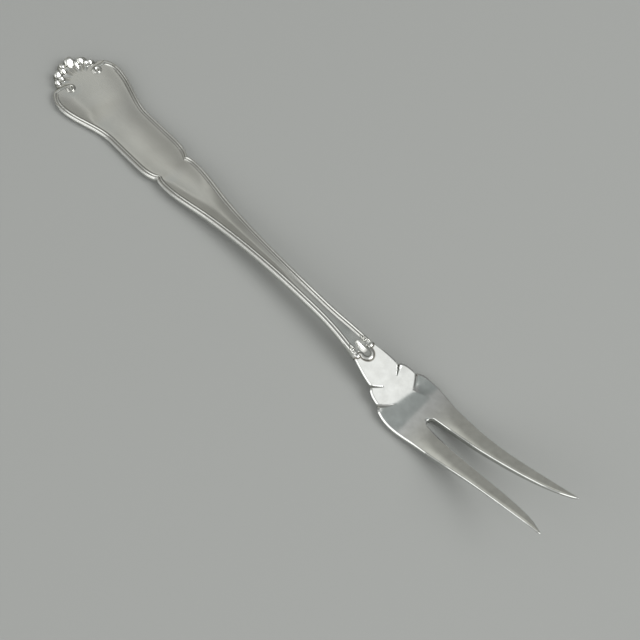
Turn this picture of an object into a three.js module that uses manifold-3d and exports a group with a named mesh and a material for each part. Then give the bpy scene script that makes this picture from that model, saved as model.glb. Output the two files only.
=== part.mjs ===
// Cold meat fork in silver: a struck handle with a threaded border and a shell at its end, soldered
// at the neck to a head with two tines. Millimetres, +X towards the tines, +Z up. The fork lies on
// its back, resting on z = 0 with the end of its handle and the heel of its head.
import * as THREE from "three";
import { mergeVertices } from "three/addons/utils/BufferGeometryUtils.js";
import Module from "manifold-3d";

// Lengths of the handle's stretches, in order from the tip of the shell to the seam at the neck
const shellLength = 5.2;
const shoulderLength = 4.9;
const upperTaperLength = 14.7;
const waistLength = 9.8;
const notchRunLength = 5.4;
const lowerShoulderLength = 3.0;
const lowerTaperLength = 13.0;
const stemLength = 33.6;
const neckLength = 12.9;

// Widths of the handle where those stretches meet
const shellWidth = 11.2;
const shoulderWidth = 17.4;
const waistWidth = 11.4;
const notchWidth = 8.4;
const lowerShoulderWidth = 9.76;
const lowerTaperWidth = 6.56;
const stemWidth = 3.54;
const neckWidth = 5.36;
const lowerTaperSlope = -0.12;
const neckSlope = 0.1;

// Lengths of the head's stretches, in order from the seam to the points of the tines
const throatLength = 6.45;
const leafLength = 3.75;
const headShoulderLength = 4.5;
const tineRootLength = 7.3;
const tineTaperLength = 15.5;
const tinePointLength = 15.5;

// Widths of the head where those stretches meet
const firstNotchWidth = 7.7;
const secondNotchWidth = 10.8;
const headWidth = 13.7;
const tineRootWidth = 11.9;
const tineTaperWidth = 9.86;
const pointSpread = 10.56;
const throatSlope = 0.26;
const tineRootSlope = -0.1;
const pointFlare = 0.03;

// The slot between the tines: where its round end lies and how it opens
const slotSetback = 4.25;
const slotRootWidth = 2.2;
const slotMiddleWidth = 3.9;
const slotMiddleLength = 13.5;
const slotLateWidth = 6.1;
const slotLateLength = 12.1;
const pointWidth = 0.3;
const slotRootSlope = 0.12;
const slotMiddleSlope = 0.07;
const slotLateSlope = 0.14;
const slotPointSlope = 0.45;

// Heights of the front face above the table, and how deep the two rests underneath are worn flat
const seatLength = 20;
const crestHeight = 6.5;
const crestSetback = 6.5;
const pointHeight = 16.1;
const pointSlope = 0.45;
const restFlat = 0.1;

// Thicknesses, and the depths of the side walls
const seatThickness = 2.0;
const stemThickness = 3.0;
const neckThickness = 2.7;
const heelThickness = 2.1;
const tineThickness = 1.8;
const pointThickness = 0.7;
const pointThinning = -0.08;
const panelWall = 1.1;
const stemWall = 2.0;
const headWall = 1.3;
const pointWall = 0.4;

// The border's two threads and the rounded panel inside them
const threadWidth = 0.7;
const threadHeight = 0.3;
const innerThreadWidth = 0.45;
const innerThreadHeight = 0.22;
const threadFlank = 0.22;
const threadFlankRise = 0.75;
const panelCrown = 0.25;
const headCrown = 0.12;
const headEdgeRound = 0.3;
const headEdgeFlank = 0.3;

// The shell: lobes fanned out from a centre, with beads between their inner ends
const shellFanCentre = 7.6;
const lobeStepAngle = 22;
const lobesEachSide = 3;
const lobeReach = 0.5;
const lobeLength = 3.4;
const lobeWidth = 2.1;
const middleLobeWidth = 2.7;
const lobeRelief = 0.95;
const beadSize = 1.1;
const beadSetback = 2.1;
const rimBowLength = 8;

// The scrolls at the ends of the border
const scrollX = 7.1;
const scrollSpacing = 7.3;
const scrollSize = 2.3;
const scrollThread = 0.56;
const scrollTurns = 0.75;
const scrollEye = 0.64;

// The neck's ornament: a long drop above a lap with three lobes, between two curled thread ends
const dropLength = 3.2;
const dropWidth = 1.2;
const dropSetback = 0.6;
const lapLobeLength = 3.0;
const lapLobeWidth = 2.7;
const lapLobeReach = 2.2;
const sideLobeSize = 1.4;
const sideLobeSpacing = 3.4;
const sideLobeReach = 0.6;
const curlSize = 0.95;
const curlSpacing = 3.6;
const curlSetback = 1.4;
const neckRelief = 0.35;
const lapClearance = 0.12;

// The leaf cuts that run in from the head's notches
const cutWidth = 0.55;
const firstCutLength = 2.9;
const secondCutLength = 4.3;
const cutAngle = 46;
const cutOverrun = 0.2;

// The soldered tongue and socket
const tongueLength = 3.4;
const tongueWidth = 2.0;
const tongueHeight = 0.8;
const solderFilm = 0.1;
const seamMargin = 0.6;

// Places along the length
const shoulderX = shellLength + shoulderLength;
const waistX = shoulderX + upperTaperLength;
const waistEndX = waistX + waistLength;
const notchX = waistEndX + notchRunLength;
const lowerShoulderX = notchX + lowerShoulderLength;
const lowerTaperX = lowerShoulderX + lowerTaperLength;
const slimmestX = lowerTaperX + stemLength;
const seamX = slimmestX + neckLength;
const headX = seamX + solderFilm;
const firstNotchX = headX + throatLength;
const secondNotchX = firstNotchX + leafLength;
const heelX = secondNotchX + headShoulderLength;
const tineRootX = heelX + tineRootLength;
const tineTaperX = tineRootX + tineTaperLength;
const pointX = tineTaperX + tinePointLength;
const slotX = heelX + slotSetback;

const wasm = await Module();
wasm.setup();

// A smooth function through stations of [x, value, slope], level beyond the first and last
function smooth(stations) {
  return (x) => {
    const at = THREE.MathUtils.clamp(x, stations[0][0], stations.at(-1)[0]);
    const next = Math.max(1, stations.findIndex(([station]) => station >= at));
    const [x0, value0, slope0] = stations[next - 1];
    const [x1, value1, slope1] = stations[next];
    const run = x1 - x0;
    const t = (at - x0) / run;
    const leaving = value0 * (1 + 2 * t) + slope0 * run * t;
    const arriving = value1 * (3 - 2 * t) + slope1 * run * (t - 1);
    return leaving * (1 - t) ** 2 + arriving * t ** 2;
  };
}

// Three shapes of edge, each from the last point: a glide between two slopes, a quarter of an
// ellipse that springs out from a notch, and one that drops into a notch
function glide(x, y, slopeFrom, slopeTo) {
  return (from) => {
    const third = (x - from.x) / 3;
    const leaving = new THREE.Vector2(from.x + third, from.y + slopeFrom * third);
    const arriving = new THREE.Vector2(x - third, y - slopeTo * third);
    return new THREE.CubicBezierCurve(from, leaving, arriving, new THREE.Vector2(x, y));
  };
}

function spring(x, y) {
  return (from) => new THREE.EllipseCurve(x, from.y, x - from.x, y - from.y, Math.PI, Math.PI / 2, true);
}

function fall(x, y) {
  return (from) => new THREE.EllipseCurve(from.x, y, x - from.x, from.y - y, Math.PI / 2, 0, true);
}

// Points along an edge made of such shapes, each with its number of steps
function edge(x, y, stretches) {
  const points = [new THREE.Vector2(x, y)];
  for (const [shape, steps] of stretches) {
    const curve = shape(points.at(-1));
    points.push(...curve.getPoints(steps).slice(1));
  }
  return points;
}

// A closed body from rings that each run from +Y over the top to -Y and back underneath
function loft(rings) {
  const round = rings[0].length;
  const lastRow = (rings.length - 1) * round;
  const index = [];
  for (let row = 0; row < lastRow; row += round) {
    for (let k = 0; k < round; k++) {
      const a = row + k;
      const b = row + ((k + 1) % round);
      index.push(a, b, a + round, b, b + round, a + round);
    }
  }
  for (const [a, b, c] of capFaces(rings[0])) {
    index.push(a, c, b);
  }
  for (const [a, b, c] of capFaces(rings.at(-1))) {
    index.push(lastRow + a, lastRow + b, lastRow + c);
  }
  return new THREE.BufferGeometry().setFromPoints(rings.flat()).setIndex(index);
}

function capFaces(ring) {
  const outline = ring.map(({ y, z }) => new THREE.Vector2(y, z));
  return THREE.ShapeUtils.triangulateShape(outline, []);
}

// A geometry as a solid that can be joined and cut
function solid(geometry) {
  const bare = geometry.clone();
  bare.deleteAttribute("normal");
  bare.deleteAttribute("uv");
  const merged = mergeVertices(bare, 1e-5);
  const vertProperties = new Float32Array(merged.attributes.position.array);
  const triVerts = new Uint32Array(merged.index.array);
  return new wasm.Manifold(new wasm.Mesh({ numProp: 3, vertProperties, triVerts }));
}

function block(x0, x1, width, z0, z1) {
  const box = new THREE.BoxGeometry(x1 - x0, width, z1 - z0);
  return solid(box.translate((x0 + x1) / 2, 0, (z0 + z1) / 2));
}

// A rounded boss, turned by an angle about the vertical
function boss(x, y, z, length, width, height, angle = 0) {
  const ball = new THREE.SphereGeometry(0.5, 12, 8).scale(length, width, height);
  return solid(ball.rotateZ(angle).translate(x, y, z));
}

// The front face's height and the body's thickness along the whole fork
const frontHeight = smooth([
  [seatLength, seatThickness - restFlat, 0],
  [seamX - crestSetback, crestHeight, 0],
  [heelX, heelThickness - restFlat, 0],
  [pointX, pointHeight, pointSlope],
]);
const thickness = smooth([
  [seatLength, seatThickness, 0],
  [slimmestX, stemThickness, 0],
  [headX, neckThickness, 0],
  [heelX, heelThickness, 0],
  [tineTaperX, tineThickness, 0],
  [pointX, pointThickness, pointThinning],
]);
const handleWall = smooth([
  [seatLength, panelWall, 0],
  [slimmestX, stemWall, 0],
]);
const headSideWall = smooth([
  [headX, stemWall, 0],
  [heelX, headWall, 0],
  [pointX, pointWall, 0],
]);

// The height of the handle's front face between its threads, from which all its relief rises
function ground(x) {
  return frontHeight(x) - threadHeight;
}

// Handle: each ring bows towards the shell, fully at the shell's rim and not at all past the shoulder
const handleEdge = edge(shellLength, shellWidth / 2, [
  [spring(shoulderX, shoulderWidth / 2), 8],
  [glide(waistX, waistWidth / 2, 0, 0), 9],
  [glide(waistEndX, waistWidth / 2, 0, 0), 2],
  [fall(notchX, notchWidth / 2), 7],
  [spring(lowerShoulderX, lowerShoulderWidth / 2), 5],
  [glide(lowerTaperX, lowerTaperWidth / 2, 0, lowerTaperSlope), 6],
  [glide(slimmestX, stemWidth / 2, lowerTaperSlope, 0), 9],
  [glide(seamX, neckWidth / 2, 0, neckSlope), 7],
]);
const rimBow = smooth([
  [shellLength, shellLength - lobeReach, 0],
  [shellLength + rimBowLength, 0, 0],
]);
const borderSteps = [
  [0, 0],
  [threadFlank * threadWidth, threadFlankRise * threadHeight],
  [threadWidth / 2, threadHeight],
  [(1 - threadFlank) * threadWidth, threadFlankRise * threadHeight],
  [threadWidth, 0],
  [threadWidth + innerThreadWidth / 2, innerThreadHeight],
  [threadWidth + innerThreadWidth, 0],
];
const borderStartRows = 3;
const panelShares = [0.7, 0.35, 0];
const backShares = [0, 0.55, 1];

function handleRing({ x: edgeX, y: half }, row) {
  const bow = rimBow(edgeX);
  const lean = Math.hypot(1, (2 * bow) / half);
  const ringX = (y) => edgeX - bow * (1 - (y / half) ** 2);
  const border = Math.min(1, row / borderStartRows);
  const side = borderSteps.map(([inset, height]) => [half - inset / lean, height]);
  const panelHalf = side.at(-1)[0];
  for (const share of panelShares) {
    side.push([panelHalf * share, panelCrown * (1 - share ** 2)]);
  }
  const front = side.map(([y, height]) => {
    const plain = panelCrown * (1 - (y / half) ** 2);
    const x = ringX(y);
    return new THREE.Vector3(x, y, ground(x) + THREE.MathUtils.lerp(plain, height, border));
  });
  const back = backShares.map((share) => {
    const x = ringX(share * half);
    const middle = frontHeight(x) - thickness(x);
    const rise = ground(x) - handleWall(x) - middle;
    return new THREE.Vector3(x, share * half, middle + rise * share ** 2);
  });
  return mirrored(front, back);
}

// A whole ring from the front of its +Y half, edge first, and the back of it, middle first
function mirrored(front, back) {
  const flip = ({ x, y, z }) => new THREE.Vector3(x, -y, z);
  const otherFront = front.slice(0, -1).reverse().map(flip);
  const otherBack = back.slice(1).reverse().map(flip);
  return [...front, ...otherFront, ...otherBack, ...back];
}

const table = block(-shellLength, pointX, 2 * shoulderWidth, -seatThickness, 0);
let handle = solid(loft(handleEdge.map(handleRing)));

// Shell lobes stand on the rim and point at the fan's centre, with a bead in each gap
function rimPlace(angle) {
  const across = Math.sin(THREE.MathUtils.degToRad(angle));
  const x = lobeReach + (shellLength - lobeReach) * across ** 2;
  return new THREE.Vector2(x, (across * shellWidth) / 2);
}

const fanCentre = new THREE.Vector2(shellFanCentre, 0);
for (let k = -lobesEachSide; k <= lobesEachSide; k++) {
  const rim = rimPlace(k * lobeStepAngle);
  const out = rim.clone().sub(fanCentre).normalize();
  const middle = rim.clone().addScaledVector(out, lobeReach - lobeLength / 2);
  const width = k === 0 ? middleLobeWidth : lobeWidth;
  const height = 2 * (threadHeight + lobeRelief);
  handle = handle.add(boss(middle.x, middle.y, ground(0), lobeLength, width, height, out.angle()));
}
for (let k = 0; k < 2 * lobesEachSide; k++) {
  const rim = rimPlace((k + 0.5 - lobesEachSide) * lobeStepAngle);
  const inward = fanCentre.clone().sub(rim).normalize();
  const place = rim.addScaledVector(inward, beadSetback);
  handle = handle.add(boss(place.x, place.y, ground(0) + 0.3 * beadSize, beadSize, beadSize, beadSize));
}

// Scrolls: a thread that leaves the shoulder, runs inwards and curls round to an eye
function scroll(side) {
  const radius = (scrollSize - scrollThread) / 2;
  const centreY = scrollSpacing / 2;
  const z = ground(scrollX) + panelCrown;
  const start = handleEdge[borderStartRows];
  const points = [new THREE.Vector3(start.x + threadWidth / 2, side * (start.y - threadWidth / 2), z)];
  for (let turn = 0; turn <= scrollTurns; turn += 1 / 12) {
    const angle = turn * 2 * Math.PI;
    const x = scrollX - radius * Math.cos(angle);
    points.push(new THREE.Vector3(x, side * (centreY - radius * Math.sin(angle)), z));
  }
  const section = new THREE.Shape().absarc(0, 0, scrollThread / 2, 0, 2 * Math.PI);
  const extrudePath = new THREE.CatmullRomCurve3(points);
  const thread = new THREE.ExtrudeGeometry(section, { steps: 18, curveSegments: 3, extrudePath });
  return solid(thread).add(boss(scrollX, side * centreY, z, scrollEye, scrollEye, scrollEye));
}

handle = handle.add(scroll(1)).add(scroll(-1));

// Neck ornament, which laps over the head
const neckHeight = 2 * (threadHeight + neckRelief);
const dropX = seamX - dropSetback;
const lapX = seamX + lapLobeReach - lapLobeLength / 2;
const sideLobeX = seamX + sideLobeReach - sideLobeSize / 2;
const curlX = seamX - curlSetback;
handle = handle.add(boss(dropX, 0, frontHeight(dropX), dropLength, dropWidth, neckHeight));
handle = handle.add(boss(lapX, 0, ground(lapX), lapLobeLength, lapLobeWidth, neckHeight));
for (const side of [-1, 1]) {
  const lobeY = (side * sideLobeSpacing) / 2;
  const curlY = (side * curlSpacing) / 2;
  handle = handle.add(boss(sideLobeX, lobeY, ground(sideLobeX), sideLobeSize, sideLobeSize, neckHeight));
  handle = handle.add(boss(curlX, curlY, ground(curlX), curlSize, curlSize, neckHeight));
}

// Head: rounded front edges, upright sides and a rounded back, with the slot cut through
const headEdge = edge(headX, neckWidth / 2, [
  [glide(firstNotchX, firstNotchWidth / 2, throatSlope, 0), 6],
  [spring(secondNotchX, secondNotchWidth / 2), 6],
  [spring(heelX, headWidth / 2), 6],
  [glide(tineRootX, tineRootWidth / 2, 0, tineRootSlope), 7],
  [glide(tineTaperX, tineTaperWidth / 2, tineRootSlope, 0), 8],
  [glide(pointX, pointSpread / 2, 0, pointFlare), 9],
]);

function headRing({ x, y: half }) {
  const top = frontHeight(x);
  const flank = headEdgeFlank * headEdgeRound;
  const front = [
    new THREE.Vector3(x, half, top - headEdgeRound),
    new THREE.Vector3(x, half - flank, top - headCrown - flank),
    new THREE.Vector3(x, half - headEdgeRound, top - headCrown),
    new THREE.Vector3(x, 0.5 * half, top - 0.25 * headCrown),
    new THREE.Vector3(x, 0, top),
  ];
  const middle = top - thickness(x);
  const rise = thickness(x) - headEdgeRound - headSideWall(x);
  const back = backShares.map((share) => new THREE.Vector3(x, share * half, middle + rise * share ** 2));
  return mirrored(front, back);
}

// The slot's +Y side, from the middle of its round end to past the points
const slotRootX = slotX + slotRootWidth / 2;
const slotMiddleX = slotRootX + slotMiddleLength;
const slotLateX = slotMiddleX + slotLateLength;
const slotPointY = pointSpread / 2 - pointWidth;
const slotEdge = edge(slotX, 0, [
  [spring(slotRootX, slotRootWidth / 2), 6],
  [glide(slotMiddleX, slotMiddleWidth / 2, slotRootSlope, slotMiddleSlope), 6],
  [glide(slotLateX, slotLateWidth / 2, slotMiddleSlope, slotLateSlope), 5],
  [glide(pointX, slotPointY, slotLateSlope, slotPointSlope), 5],
  [glide(pointX + pointWidth, slotPointY, 0, 0), 1],
]);
const slotOutline = new THREE.Shape([
  ...slotEdge,
  ...slotEdge.slice(1).reverse().map(({ x, y }) => new THREE.Vector2(x, -y)),
]);
const slot = solid(new THREE.ExtrudeGeometry(slotOutline, { depth: 2 * pointHeight, bevelEnabled: false }));
const blade = solid(loft(headEdge.map(headRing))).subtract(slot.translate([0, 0, -heelThickness]));

// A leaf cut is a cone laid along the front face, its wide end at the notch
function leafCut(notch, width, length, side) {
  const angle = THREE.MathUtils.degToRad(cutAngle);
  const endX = notch + length * Math.cos(angle);
  const outer = new THREE.Vector3(notch - cutOverrun, side * (width / 2 + cutOverrun), frontHeight(notch));
  const inner = new THREE.Vector3(endX, side * (width / 2 - length * Math.sin(angle)), frontHeight(endX));
  const run = inner.clone().sub(outer);
  const cone = new THREE.ConeGeometry(cutWidth / 2, run.length(), 6);
  const turn = new THREE.Quaternion().setFromUnitVectors(new THREE.Vector3(0, 1, 0), run.clone().normalize());
  const middle = outer.add(inner).multiplyScalar(0.5);
  return solid(cone.applyQuaternion(turn).translate(middle.x, middle.y, middle.z));
}

let forkHead = blade;
for (const side of [-1, 1]) {
  forkHead = forkHead.subtract(leafCut(firstNotchX, firstNotchWidth, firstCutLength, side));
  forkHead = forkHead.subtract(leafCut(secondNotchX, secondNotchWidth, secondCutLength, side));
}

// Tongue, socket and the solder between them
const tongueX = seamX - tongueLength;
const tongueZ = (frontHeight(tongueX) - thickness(tongueX) + ground(seamX)) / 2;
const tongueTop = tongueZ + tongueHeight / 2;
const tongueBottom = tongueZ - tongueHeight / 2;
const tongueRootX = headX + throatLength / 3;
const socketX = tongueX - solderFilm;
const socketWidth = tongueWidth + 2 * solderFilm;
const socketBottom = tongueBottom - solderFilm;
const socketTop = tongueTop + solderFilm;
const tongue = block(tongueX, tongueRootX, tongueWidth, tongueBottom, tongueTop);
const socket = block(socketX, headX, socketWidth, socketBottom, socketTop);
const seamBottom = frontHeight(seamX) - thickness(seamX) + seamMargin;
const seamTop = ground(seamX) - seamMargin;
const seam = block(seamX, headX, neckWidth - 2 * seamMargin, seamBottom, seamTop);
const lapUnderside = blade.translate([-solderFilm, 0, lapClearance]);

handle = handle.subtract(lapUnderside).subtract(socket).subtract(table);
forkHead = forkHead.add(tongue).subtract(table);
const neckSolder = socket.add(seam).subtract(tongue);

// The fork, with its origin on the table below the middle of its length
const fork = new THREE.Group();
fork.position.x = -pointX / 2;

function addNode(name, body, color, roughness) {
  const { vertProperties, triVerts } = body.getMesh();
  const geometry = new THREE.BufferGeometry();
  geometry.setAttribute("position", new THREE.BufferAttribute(vertProperties, 3));
  geometry.setIndex(new THREE.BufferAttribute(triVerts, 1));
  geometry.computeVertexNormals();
  const mesh = new THREE.Mesh(geometry, new THREE.MeshStandardMaterial({ color, roughness, metalness: 1 }));
  mesh.name = name;
  fork.add(mesh);
}

addNode("handle", handle, "#d8d6d0", 0.3);
addNode("fork_head", forkHead, "#dedcd6", 0.18);
addNode("neck_solder", neckSolder, "#c9c7c1", 0.4);

export default fork;
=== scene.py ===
import math
import bpy
import numpy as np
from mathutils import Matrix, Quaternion, Vector
from mathutils.geometry import delaunay_2d_cdt


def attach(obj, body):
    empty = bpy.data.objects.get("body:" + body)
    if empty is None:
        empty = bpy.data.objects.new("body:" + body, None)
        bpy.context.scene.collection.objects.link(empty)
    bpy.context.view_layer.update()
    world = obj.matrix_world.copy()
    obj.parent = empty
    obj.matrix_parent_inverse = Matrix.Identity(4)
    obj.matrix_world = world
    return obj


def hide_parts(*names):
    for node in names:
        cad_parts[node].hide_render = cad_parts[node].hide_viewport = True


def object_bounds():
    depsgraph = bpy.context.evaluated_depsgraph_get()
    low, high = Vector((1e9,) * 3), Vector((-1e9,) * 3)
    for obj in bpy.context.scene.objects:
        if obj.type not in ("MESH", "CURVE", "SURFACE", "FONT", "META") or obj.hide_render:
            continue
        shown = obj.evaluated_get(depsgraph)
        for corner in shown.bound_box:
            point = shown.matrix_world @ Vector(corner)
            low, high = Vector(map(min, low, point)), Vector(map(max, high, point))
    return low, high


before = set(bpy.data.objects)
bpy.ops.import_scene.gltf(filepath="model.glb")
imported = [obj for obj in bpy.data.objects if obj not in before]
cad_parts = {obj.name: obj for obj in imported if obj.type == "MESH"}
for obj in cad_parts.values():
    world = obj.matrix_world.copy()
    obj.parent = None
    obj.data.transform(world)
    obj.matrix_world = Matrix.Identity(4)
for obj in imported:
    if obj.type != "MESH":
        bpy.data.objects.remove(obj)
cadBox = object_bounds()
tipX = cadBox[0].x * 1000  # the shell's tip: sizes below are in mm from it, towards the tines
farAway = 9.0  # mm, beyond the reach of any edge
print("frame loaded, fork is %.1f mm long" % ((cadBox[1].x - cadBox[0].x) * 1000))

# Shared by both halves of the fork: (place along it, value, slope), in mm
forkBody = {
    "front": [(20, 1.9, 0), (96, 6.5, 0), (117.3, 2.0, 0), (155.6, 16.1, 0.45)],
    "thickness": [(20, 2.0, 0), (89.6, 3.0, 0), (102.6, 2.7, 0), (117.3, 2.1, 0), (140.1, 1.8, 0),
                  (155.6, 0.7, -0.08)],
    "restFlat": 0.0,  # the two worn rests lie on the table
}


def along(stations, x):
    x = np.clip(x, stations[0][0], stations[-1][0])
    value = np.full(np.shape(x), float(stations[0][1]))
    for (x0, v0, s0), (x1, v1, s1) in zip(stations, stations[1:]):
        run = x1 - x0
        t = (x - x0) / run
        leaving = v0 * (1 + 2 * t) + s0 * run * t
        arriving = v1 * (3 - 2 * t) + s1 * run * (t - 1)
        value = np.where(x >= x0, leaving * (1 - t) ** 2 + arriving * t ** 2, value)
    return value


def frontAt(x):
    return along(forkBody["front"], x)


def thicknessAt(x):
    return along(forkBody["thickness"], x)


def ease(x, start, end):
    t = np.clip((x - start) / (end - start), 0, 1)
    return t * t * (3 - 2 * t)


# How far a rounded corner has fallen, from none at t = 0 to all at t = 1
def rollOff(t):
    return 1 - np.sqrt(1 - t ** 2)


# Tarnish as a soft line at some distance, and painted shade that fades by 1 over each width from an edge
def softLine(gap, place, halfWidth):
    return np.exp(-((gap - place) / halfWidth) ** 2)


def edgeShade(gap, strength, width):
    return np.clip(strength - gap / width, 0, 1)


# Shapes of edge from a to b: between two slopes, out of a notch, and into one
def glide(a, b, slopeA, slopeB, count):
    x = a[0] + (b[0] - a[0]) * np.linspace(0, 1, count + 1)[1:]
    return np.c_[x, along([(*a, slopeA), (*b, slopeB)], x)]


def spring(a, b, count):
    t = np.linspace(0, math.pi / 2, count + 1)[1:]
    return np.c_[b[0] - (b[0] - a[0]) * np.cos(t), a[1] + (b[1] - a[1]) * np.sin(t)]


def fall(a, b, count):
    t = np.linspace(0, math.pi / 2, count + 1)[1:]
    return np.c_[a[0] + (b[0] - a[0]) * np.sin(t), b[1] + (a[1] - b[1]) * np.cos(t)]


def edgeLine(start, *stretches):
    return np.vstack([[start], *stretches])


# How far each point lies from a line, and how far along the line that is, from 0 to 1
def fromLine(points, line):
    nearest = np.full(len(points), 1e9)
    share = np.zeros(len(points))
    steps = np.linalg.norm(np.diff(line, axis=0), axis=1)
    run = np.r_[0, np.cumsum(steps)]
    for k, step in enumerate(steps):
        a = line[k]
        d = (line[k + 1] - a) / step
        t = np.clip((points - a) @ d, 0, step)
        gap = np.linalg.norm(points - a - t[:, None] * d, axis=1)
        closer = gap < nearest
        nearest[closer] = gap[closer]
        share[closer] = (run[k] + t[closer]) / run[-1]
    return nearest, share


# A rounded bead across its width
def bead(gap, width, height, fullness=0.65):
    t = np.clip(2 * np.abs(gap) / width, 0, 1)
    return height * (1 - t * t) ** fullness


# A lobe lying outwards from a centre, tilted down towards the tines, and how level its top is there
def swell(points, centre, x, y, length, width, height, tilt, flatness):
    outward = np.array([x - centre[0], y - centre[1]])
    outward /= np.linalg.norm(outward)
    out = (points - [x, y]) @ outward
    aside = (points - [x, y]) @ [-outward[1], outward[0]]
    reach = np.clip((out * 2 / length) ** 2 + np.abs(aside * 2 / width) ** flatness, 0, 1)
    roundness = np.sqrt(1 - reach)
    return (height - tilt * (points[:, 0] - x)) * roundness, roundness


# Ovals and their mirror images on the other side of the fork
def mirrored(lobes):
    return lobes + [(x, -y, *size) for x, y, *size in lobes if y]


# The outline of several ovals together, as seen from a centre
def lobedLine(centre, angles, lobes, ends):
    reach = np.zeros(len(angles))
    for x, y, length, width in lobes:
        ux = np.cos(angles) * 2 / length
        uy = np.sin(angles) * 2 / width
        fx = (centre[0] - x) * 2 / length
        fy = (centre[1] - y) * 2 / width
        a = ux * ux + uy * uy
        b = ux * fx + uy * fy
        inside = b * b - a * (fx * fx + fy * fy - 1)
        far = (np.sqrt(np.maximum(inside, 0)) - b) / a
        reach = np.maximum(reach, np.where(inside > 0, far, 0))
    reach[[0, -1]] = ends
    met = reach > 0
    reach = np.interp(np.arange(len(angles)), np.flatnonzero(met), reach[met])
    return np.c_[centre[0] + reach * np.cos(angles), centre[1] + reach * np.sin(angles)]


def insideOf(points, loop):
    inside = np.zeros(len(points), bool)
    for a, b in zip(loop, np.roll(loop, -1, axis=0)):
        if a[1] == b[1]:
            continue
        crosses = (a[1] > points[:, 1]) != (b[1] > points[:, 1])
        atX = a[0] + (points[:, 1] - a[1]) * (b[0] - a[0]) / (b[1] - a[1])
        inside ^= crosses & (points[:, 0] < atX)
    return inside


# Fills a closed loop with an even net: its points, its faces, and where the loop's own points are
def fillLoop(loop, spacing, guides=()):
    low, high = loop.min(axis=0), loop.max(axis=0)
    rowGap = spacing * math.sqrt(0.75)
    clearance = 0.45 * spacing
    rows = np.arange(low[1], high[1], rowGap)
    net = []
    for k, y in enumerate(rows):
        x = np.arange(low[0] + spacing / 2 * (k % 2), high[0], spacing)
        net.append(np.c_[x, np.full(len(x), y)])
    net = np.vstack(net)
    net = net[insideOf(net, loop)]
    closed = np.vstack([loop, loop[:1]])
    for line in (closed, *guides):
        net = net[fromLine(net, line)[0] > clearance]
    points = np.vstack([loop, *guides, net])
    edges = [(k, (k + 1) % len(loop)) for k in range(len(loop))]
    found = delaunay_2d_cdt([Vector(p) for p in points], edges, [list(range(len(loop)))], 1, 1e-6)
    places = np.array([tuple(p) for p in found[0]])
    faces = np.array(found[2])
    order = np.array([origin[0] for origin in found[3]])
    back = np.full(len(points), -1)
    back[order] = np.arange(len(order))
    return places, faces, back[:len(loop)]


# The four-cornered faces of a grid of numbered points
def sheet(index):
    corners = [index[:-1, :-1], index[1:, :-1], index[1:, 1:], index[:-1, 1:]]
    return np.stack(corners, axis=-1).reshape(-1, 4)


def makePiece(name, points, faces, marks):
    mesh = bpy.data.meshes.new(name)
    places = (points + [tipX, 0, 0]) / 1000
    mesh.from_pydata(places.tolist(), [], faces)
    mesh.validate()
    for mark, values in marks.items():
        mesh.attributes.new(mark, "FLOAT", "POINT").data.foreach_set("value", values.astype(np.float32))
    mesh.polygons.foreach_set("use_smooth", [True] * len(mesh.polygons))
    mesh.update()
    piece = bpy.data.objects.new(name, mesh)
    bpy.context.collection.objects.link(piece)
    return piece


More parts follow.
